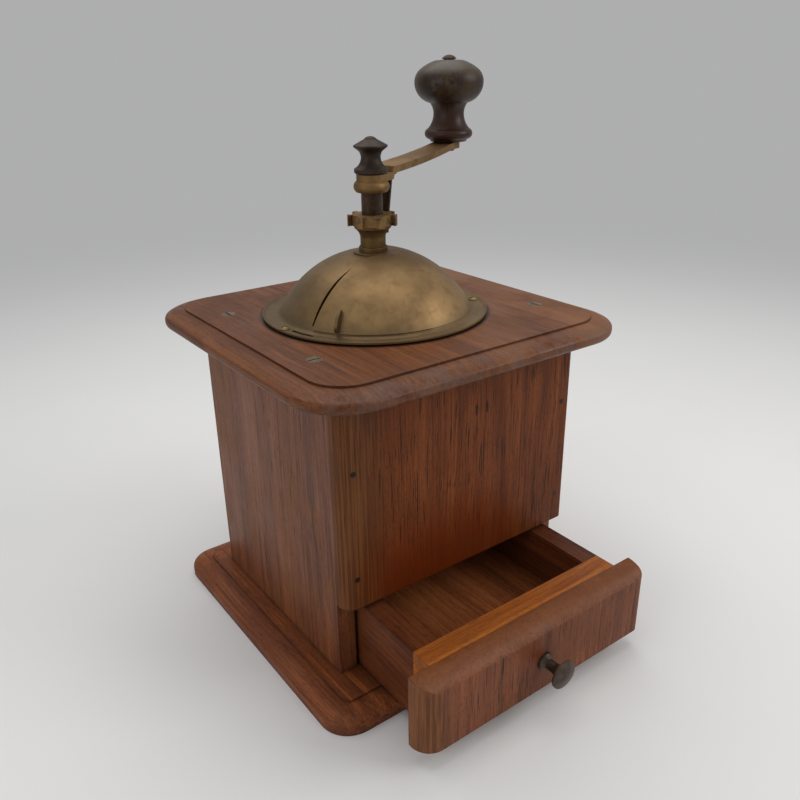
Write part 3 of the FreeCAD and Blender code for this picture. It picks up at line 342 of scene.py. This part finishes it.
def dark_metal(name, base, tint, roughness=0.45, metallic=0.7, rust=0.3):
    """Browned or blackened iron and steel: cloudy, speckled with rust, its edges rubbed to the tint."""
    tree = Tree(name)
    cloud = tree.noise(tree.place, 160.0, 5.0, 0.65)
    speck = tree.noise(tree.place, 1400.0, 3.0, 0.6)
    colour = tree.mix(tree.range(cloud, 0.35, 0.65), base, tint)
    colour = tree.mix(tree.range(speck, 0.55, 0.70, to_high=rust), colour, IRON_RUST)
    colour = tree.stain(colour, tint, tree.edge_mask(radius=0.0005), 0.4)
    # painted shade: corners and gaps darkened to near black
    colour = tree.stain(colour, CORNER_SHADE_BLACK, tree.painted_corner_shade(reach=0.002), 0.6)

    tree.set(Base_Color=colour, Metallic=metallic)
    tree.set(Roughness=tree.added(roughness - 0.1, tree.scaled(speck, 0.25)))
    tree.bump((speck, 0.00004, 0.4), (cloud, 0.0003, 0.15))
    return tree.material


def give(material, *names):
    """Put one material on every slot of the named CAD nodes."""
    for name in names:
        mesh = frame["nodes"][name].data
        mesh.materials.clear()
        mesh.materials.append(material)


def numbered(stem, count):
    return [f"{stem}_{index}" for index in range(1, count + 1)]


# ---------------------------------------------------------------- case

def panel_touch(tree, colour, x, y, z):
    """Front panel: deep red foot, rubbed pale edge on the left, two dark marks under the lid."""
    low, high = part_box("front_panel")
    middle = (low[0] + high[0]) / 2
    foot = tree.scaled(
        tree.range(z, low[2] + 0.042, low[2] + 0.007),
        tree.range(x, middle + 0.045, middle),
    )
    colour = tree.stain(colour, (0.120, 0.017, 0.001), foot, 0.85)

    edge = tree.range(x, low[0] + 0.024, low[0] + 0.004)
    fleck = tree.streaks(tree.place, (900, 900, 16), 3.0, 0.6)
    pale = tree.mix(tree.range(fleck, 0.42, 0.60), (0.080, 0.031, 0.011), (0.175, 0.072, 0.022))
    colour = tree.stain(colour, pale, edge, 0.65)

    for aside in (0.0050, 0.0105):
        centre = (middle + aside, low[1], high[2] - 0.022)
        mark = tree.spot((x, y, z), centre, (0.0008, 0.02, 0.0028))
        colour = tree.stain(colour, DIRT_AND_SHADOW, mark, 0.8)
    return colour


def lid_touch(tree, colour, x, y, z):
    """Lid: right side painted paler as painted light, greyed front moulding, scratches by the screws,
    painted shadow round the dome.
    """
    low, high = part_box("top_plate")
    middle = (low[0] + high[0]) / 2
    # painted light: the right side is made paler and warmer, standing in for the light and glare falling
    # there
    warm = tree.streaks(tree.place, (34, 12, 34), 3.0)
    right = tree.scaled(
        tree.range(x, middle - 0.014, middle + 0.056),
        tree.range(warm, 0.35, 0.60),
    )
    colour = tree.stain(colour, (0.260, 0.115, 0.050), right, 0.55)

    rough = tree.noise(tree.place, 140.0, 4.0, 0.7)
    moulding = tree.range(y, low[1] + 0.012, low[1] + 0.004)
    front = tree.scaled(moulding, tree.range(rough, 0.35, 0.6))
    colour = tree.stain(colour, (0.130, 0.085, 0.070), front, 0.45)

    for index in (2, 3):
        near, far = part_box(f"top_plate_screw_{index}")
        centre = ((near[0] + far[0]) / 2 + 0.001, near[1] - 0.008, high[2])
        mark = tree.spot((x, y, z), centre, (0.0009, 0.009, 0.01))
        colour = tree.stain(colour, (0.035, 0.022, 0.022), mark, 0.55)

    # painted shadow: a dark ring just outside the dome's rim, where its raised flange shades the lid
    near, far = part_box("hopper_dome")
    rim = (far[0] - near[0]) / 2
    across = tree.math("SUBTRACT", x, (near[0] + far[0]) / 2)
    along = tree.math("SUBTRACT", y, (near[1] + far[1]) / 2)
    squares = tree.added(tree.scaled(across, across), tree.scaled(along, along))
    ring = tree.range(tree.math("SQRT", squares), rim + 0.0022, rim + 0.0004)
    return tree.stain(colour, DIRT_AND_SHADOW, ring, 0.85)


give(
    wood("lid_wood", "Y", seed=1.7,
         dark=(0.093, 0.027, 0.008), mid=(0.147, 0.045, 0.012), light=(0.201, 0.069, 0.019),
         patches=(0.113, 0.040, 0.014), streaks=0.25, pores=0.25, scratches=0.35, gloss=0.46,
         corner_shade_share=0.9, touch=lid_touch),
    "top_plate")
give(
    wood("base_wood", "Y", seed=3.1,
         dark=(0.127, 0.034, 0.011), mid=(0.227, 0.062, 0.017), light=(0.318, 0.096, 0.028),
         patches=(0.163, 0.048, 0.016), streaks=0.35, pores=0.35, scratches=0.5, gloss=0.52,
         corner_shade_share=0.9),
    "base_plate")
give(
    wood("side_wood", "Z", seed=0.4,
         dark=(0.113, 0.033, 0.012), mid=(0.178, 0.055, 0.021), light=(0.234, 0.079, 0.030),
         patches=(0.189, 0.069, 0.021), streaks=0.40, pores=0.45, pore_length=40, scratches=0.15,
         gloss=0.42),
    "left_wall", "right_wall", "back_panel")
give(
    wood("panel_wood", "Z", seed=5.2,
         dark=(0.098, 0.023, 0.004), mid=(0.163, 0.039, 0.008), light=(0.220, 0.060, 0.013),
         patches=(0.139, 0.037, 0.009), streaks=0.45, pores=0.85, pore_length=55, scratches=0.1,
         gloss=0.42, shine=0.14, touch=panel_touch),
    "front_panel")
give(
    dark_metal("screw_steel", base=(0.10, 0.083, 0.060), tint=(0.21, 0.175, 0.125), roughness=0.50,
               rust=0.5),
    "drawer_handle_screw", *numbered("top_plate_screw", 4), *numbered("housing_screw", 3))
give(dark_metal("nail_steel", base=(0.014, 0.010, 0.008), tint=(0.035, 0.026, 0.020)),
     *numbered("front_nail", 4))


# ---------------------------------------------------------------- drawer

def face_touch(tree, colour, x, y, z):
    """Drawer front: the left end and the sloping top are rubbed to pale wood."""
    low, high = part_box("drawer_front")
    end = tree.range(x, low[0] + 0.020, low[0] + 0.002)
    fleck = tree.streaks(tree.place, (700, 700, 30), 3.0, 0.6)
    pale = tree.mix(tree.range(fleck, 0.42, 0.60), (0.115, 0.042, 0.014), (0.245, 0.094, 0.028))
    colour = tree.stain(colour, pale, end, 0.65)
    top = tree.range(z, high[2] - 0.006, high[2] - 0.002)
    return tree.stain(colour, (0.190, 0.066, 0.020), top, 0.55)


give(
    wood("drawer_face_wood", "Z", seed=7.9,
         dark=(0.127, 0.032, 0.010), mid=(0.186, 0.050, 0.015), light=(0.245, 0.073, 0.023),
         patches=(0.169, 0.052, 0.019), streaks=0.40, pores=0.75, pore_length=60, scratches=0.2,
         gloss=0.46, touch=face_touch),
    "drawer_front")
give(
    wood("orange_wood", "X", seed=2.2,
         dark=(0.236, 0.061, 0.009), mid=(0.346, 0.096, 0.014), light=(0.457, 0.147, 0.025),
         streaks=0.30, pores=0.40, scratches=0.2, gloss=0.50, worn_and_shade=(0.090, 0.035, 0.014)),
    "drawer_box_front")
give(
    wood("drawer_box_wood", "Y", seed=6.6,
         dark=(0.070, 0.016, 0.004), mid=(0.111, 0.027, 0.007), light=(0.164, 0.044, 0.011),
         patches=(0.140, 0.039, 0.011), streaks=0.30, pores=0.40, gloss=0.50),
    "drawer_left_side", "drawer_right_side", "drawer_back")
give(
    wood("drawer_floor_wood", "Y", seed=8.3,
         dark=(0.187, 0.051, 0.014), mid=(0.280, 0.080, 0.024), light=(0.385, 0.123, 0.039),
         streaks=0.25, pores=0.35, scratches=0.6, gloss=0.55),
    "drawer_bottom")
# painted highlight: the handle is a lighter copy of the turned iron, standing in for the shine on its
# rim
give(
    dark_metal("handle_iron", base=(0.042, 0.027, 0.020), tint=(0.100, 0.070, 0.050), roughness=0.42,
               rust=0.4),
    "drawer_handle")


# ---------------------------------------------------------------- hopper

def dome_touch(tree, colour, x, y, z):
    """Dome: painted shade on its back left side, painted shadow of the neck and nut at the crown, and
    darker at the foot above the flange.
    """
    low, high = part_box("hopper_dome")
    # painted shade: the back left side, turned away from the lamps, is darkened
    aside = tree.math("SUBTRACT", tree.scaled(y, 0.59), tree.scaled(x, 0.81))
    colour = tree.stain(colour, (0.075, 0.048, 0.022), tree.range(aside, 0.0, 0.040), 0.60)
    # painted shadow: the crown under the neck and nut is darkened
    crown = tree.range(z, high[2] - 0.007, high[2])
    colour = tree.stain(colour, (0.085, 0.050, 0.020), crown, 0.45)
    foot = tree.range(z, low[2] + 0.0060, low[2] + 0.0015)
    return tree.stain(colour, (0.120, 0.085, 0.045), foot, 0.50)


give(
    brass("dome_brass", base=(0.216, 0.132, 0.058), dark=(0.104, 0.063, 0.030),
          bright=(0.310, 0.197, 0.087), grime=0.32, roughness=0.48, touch=dome_touch),
    "hopper_dome", "hopper_shutter")
give(
    brass("tab_brass", base=(0.085, 0.055, 0.024), dark=(0.030, 0.020, 0.011),
          bright=(0.150, 0.100, 0.042), grime=0.8),
    "shutter_tab")
give(
    brass("neck_brass", base=(0.090, 0.050, 0.016), dark=(0.030, 0.016, 0.008),
          bright=(0.150, 0.088, 0.030), grime=0.6, roughness=0.50),
    "neck_bearing", "neck_lock_nut", "neck_washer")
give(
    brass("screw_brass", base=(0.170, 0.115, 0.055), dark=(0.060, 0.040, 0.025),
          bright=(0.270, 0.190, 0.090), grime=0.7),
    *numbered("dome_screw", 3))


# ---------------------------------------------------------------- crank and knob

def knob_touch(tree, colour, x, y, z):
    """Knob: reddish waist, crown painted a dull grey as a painted sheen, and a patch rubbed to yellow
    wood on the head.
    """
    low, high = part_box("crank_knob")
    waist = tree.range(z, low[2] + 0.017, low[2] + 0.010)
    colour = tree.stain(colour, (0.032, 0.007, 0.001), waist, 0.7)
    # painted sheen: the crown is lightened to a dull grey
    crown = tree.range(z, high[2] - 0.009, high[2] - 0.002)
    colour = tree.stain(colour, (0.085, 0.065, 0.046), crown, 0.7)
    centre = (low[0] + 0.006, low[1] + 0.008, high[2] - 0.010)
    head = tree.spot((x, y, z), centre, (0.008, 0.008, 0.005))
    flakes = tree.range(tree.noise(tree.place, 420.0, 5.0, 0.7), 0.45, 0.65)
    return tree.stain(colour, (0.085, 0.052, 0.018), tree.scaled(head, flakes), 0.6)


give(
    wood("knob_wood", "Z", seed=4.4,
         dark=(0.014, 0.006, 0.003), mid=(0.024, 0.011, 0.006), light=(0.045, 0.024, 0.012),
         patches=(0.060, 0.034, 0.012), streaks=0.20, pores=0.35, scratches=0.3, gloss=0.40,
         wear=0.3, worn_and_shade=(0.010, 0.007, 0.005), shine=0.28, touch=knob_touch),
    "crank_knob")
give(
    brass("arm_brass", base=(0.176, 0.098, 0.036), dark=(0.078, 0.041, 0.016),
          bright=(0.254, 0.148, 0.057), grime=0.5, roughness=0.50),
    "crank_arm", "crank_collar")
give(
    brass("nut_brass", base=(0.173, 0.106, 0.046), dark=(0.046, 0.027, 0.015),
          bright=(0.276, 0.174, 0.068), grime=0.7, roughness=0.55, rust=0.6),
    "adjusting_nut")
give(
    dark_metal("shaft_steel", base=(0.032, 0.017, 0.009), tint=(0.072, 0.039, 0.021), rust=0.5),
    "crank_shaft", "burr_spring", "burr_washer", "burr_nut")
give(
    dark_metal("tongue_steel", base=(0.035, 0.021, 0.013), tint=(0.075, 0.043, 0.024),
               roughness=0.55, rust=0.7),
    "lock_tongue")
give(
    dark_metal("turned_iron", base=(0.022, 0.013, 0.009), tint=(0.048, 0.030, 0.019),
               roughness=0.50, metallic=0.6, rust=0.4),
    "finial_nut", "knob_spindle")


# ---------------------------------------------------------------- grinding parts

give(
    dark_metal("cast_iron", base=(0.050, 0.047, 0.045), tint=(0.090, 0.085, 0.080), roughness=0.6,
               metallic=0.6),
    "burr_housing", "bearing_bridge")
give(
    dark_metal("burr_steel", base=(0.20, 0.19, 0.18), tint=(0.32, 0.31, 0.30), roughness=0.35,
               metallic=0.9, rust=0.1),
    "burr_cone", "outer_burr_ring")


# ---------------------------------------------------------------- stage, lights and camera

def floor():
    """A wide pale cloth that glows with the backdrop's own brightness in the distance."""
    mesh = bpy.data.meshes.new("floor")
    corners = [(x * FLOOR_REACH, y * FLOOR_REACH, 0) for x, y in ((-1, -1), (1, -1), (1, 1), (-1, 1))]
    mesh.from_pydata(corners, [], [(0, 1, 2, 3)])
    plane = bpy.data.objects.new("floor", mesh)
    bpy.context.scene.collection.objects.link(plane)

    tree = Tree("floor_cloth")
    weave = tree.noise(tree.place, 1500.0, 2.0)
    tone = tree.noise(tree.place, 6.0, 3.0)
    near = tree.mix(tone, FLOOR_DARK, FLOOR_LIGHT)
    length = tree.nodes.new("ShaderNodeVectorMath")
    length.operation = "LENGTH"
    tree.feed(length.inputs[0], tree.place)
    far = tree.range(length.outputs["Value"], FADE_START, FADE_END)
    # the far floor glows: its colour fades to black while it emits the world's colour
    tree.set(Base_Color=tree.mix(far, near, (0.0, 0.0, 0.0)), Emission_Color=WORLD_COLOUR)
    tree.set(Emission_Strength=tree.scaled(far, WORLD_STRENGTH))
    tree.set(Roughness=0.92, Specular_IOR_Level=0.0)
    tree.bump((weave, 0.0002, 0.2), (tone, 0.002, 0.1))
    mesh.materials.append(tree.material)


def area_light(name, place, target, size, energy, colour):
    data = bpy.data.lights.new(name, "AREA")
    data.shape = "SQUARE"
    data.size = size
    data.energy = energy
    data.color = colour
    lamp = bpy.data.objects.new(name, data)
    lamp.location = place
    lamp.rotation_euler = (Vector(target) - Vector(place)).to_track_quat("-Z", "Y").to_euler()
    bpy.context.scene.collection.objects.link(lamp)


def world():
    """An even, slightly cool backdrop, and the Standard view that every colour was chosen under."""
    scene_world = bpy.data.worlds.new("studio")
    scene_world.use_nodes = True
    background = scene_world.node_tree.nodes["Background"]
    background.inputs["Color"].default_value = (*WORLD_COLOUR, 1.0)
    background.inputs["Strength"].default_value = WORLD_STRENGTH
    bpy.context.scene.world = scene_world
    bpy.context.scene.view_settings.view_transform = "Standard"


def camera():
    """A camera that looks at its target from the photograph's angle, rolled as the photograph is."""
    azimuth, elevation, roll = (math.radians(a) for a in (CAMERA_AZIMUTH, CAMERA_ELEVATION, CAMERA_ROLL))
    back = Vector((
        math.sin(azimuth) * math.cos(elevation),
        -math.cos(azimuth) * math.cos(elevation),
        math.sin(elevation),
    ))
    right = (-back).cross(Vector((0, 0, 1))).normalized()
    up = right.cross(-back)
    turned_right = right * math.cos(roll) + up * math.sin(roll)
    turned_up = up * math.cos(roll) - right * math.sin(roll)
    data = bpy.data.cameras.new("camera")
    data.sensor_width = CAMERA_SENSOR
    data.lens = CAMERA_LENS
    data.clip_start = CAMERA_CLIP
    holder = bpy.data.objects.new("camera", data)
    axes = Matrix((turned_right, turned_up, back)).transposed().to_4x4()
    holder.matrix_world = Matrix.Translation(Vector(CAMERA_TARGET) + back * CAMERA_DISTANCE) @ axes
    bpy.context.scene.collection.objects.link(holder)
    bpy.context.scene.camera = holder


floor()
world()
for lamp in LAMPS:
    area_light(*lamp)
camera()
